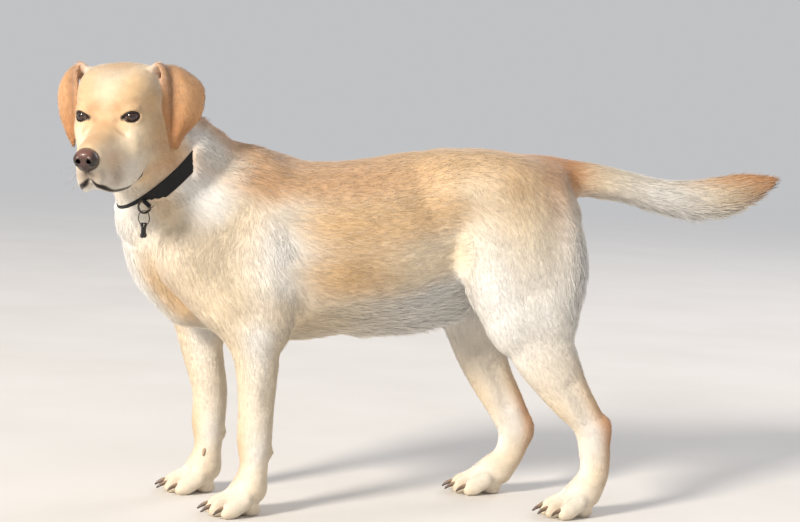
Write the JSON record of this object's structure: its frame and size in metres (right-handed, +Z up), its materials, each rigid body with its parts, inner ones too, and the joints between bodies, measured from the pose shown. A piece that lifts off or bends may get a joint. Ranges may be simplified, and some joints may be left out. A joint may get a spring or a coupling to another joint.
{
  "type": "yellow labrador dog",
  "caption": "Still, life-size yellow Labrador Retriever standing square with its head turned to its left, wearing a plain black collar with a ring and a blank bone-shaped tag.",
  "frame": {"origin": "centre of the bounding box at floor level, under the dog's belly", "axes": "+X towards the tail tip, so the dog faces -X; +Y towards the dog's right side; +Z up from the floor"},
  "size_m": [1.1474, 0.385, 0.6722],
  "materials": {
    "coat": "short dense yellow coat, warm tan on the flank and back, cream below, lying flat with a soft sheen",
    "ear_coat": "short velvety fox-orange hair on a thin flap",
    "eyeball": "wet dark brown eye with a clear front",
    "nose_skin": "moist pinkish-brown pebbled skin",
    "claw_horn": "worn dark horn with a dull shine",
    "collar_webbing": "woven black nylon webbing, matt",
    "ring_steel": "worn steel wire, fairly shiny",
    "tag_metal": "dark enamelled metal, blank"
  },
  "bodies": {
    "root": {"claw_fore_left_1": "claw_horn", "claw_fore_left_2": "claw_horn", "claw_fore_left_3": "claw_horn", "claw_fore_left_4": "claw_horn", "claw_fore_right_1": "claw_horn", "claw_fore_right_2": "claw_horn", "claw_fore_right_3": "claw_horn", "claw_fore_right_4": "claw_horn", "claw_hind_left_1": "claw_horn", "claw_hind_left_2": "claw_horn", "claw_hind_left_3": "claw_horn", "claw_hind_left_4": "claw_horn", "claw_hind_right_1": "claw_horn", "claw_hind_right_2": "claw_horn", "claw_hind_right_3": "claw_horn", "claw_hind_right_4": "claw_horn", "collar": "collar_webbing", "collar_d_ring": "ring_steel", "collar_keeper": "collar_webbing", "collar_tag": "tag_metal", "dewclaw_left": "claw_horn", "dewclaw_right": "claw_horn", "ear_left": "ear_coat", "ear_right": "ear_coat", "eye_left": "eyeball", "eye_right": "eyeball", "foreleg_left": "coat", "foreleg_right": "coat", "head": "coat", "hindleg_left": "coat", "hindleg_right": "coat", "neck": "coat", "nose": "nose_skin", "paw_fore_left": "coat", "paw_fore_right": "coat", "paw_hind_left": "coat", "paw_hind_right": "coat", "split_ring": "ring_steel", "tail": "coat", "trunk": "coat"}
  },
  "joints": []
}
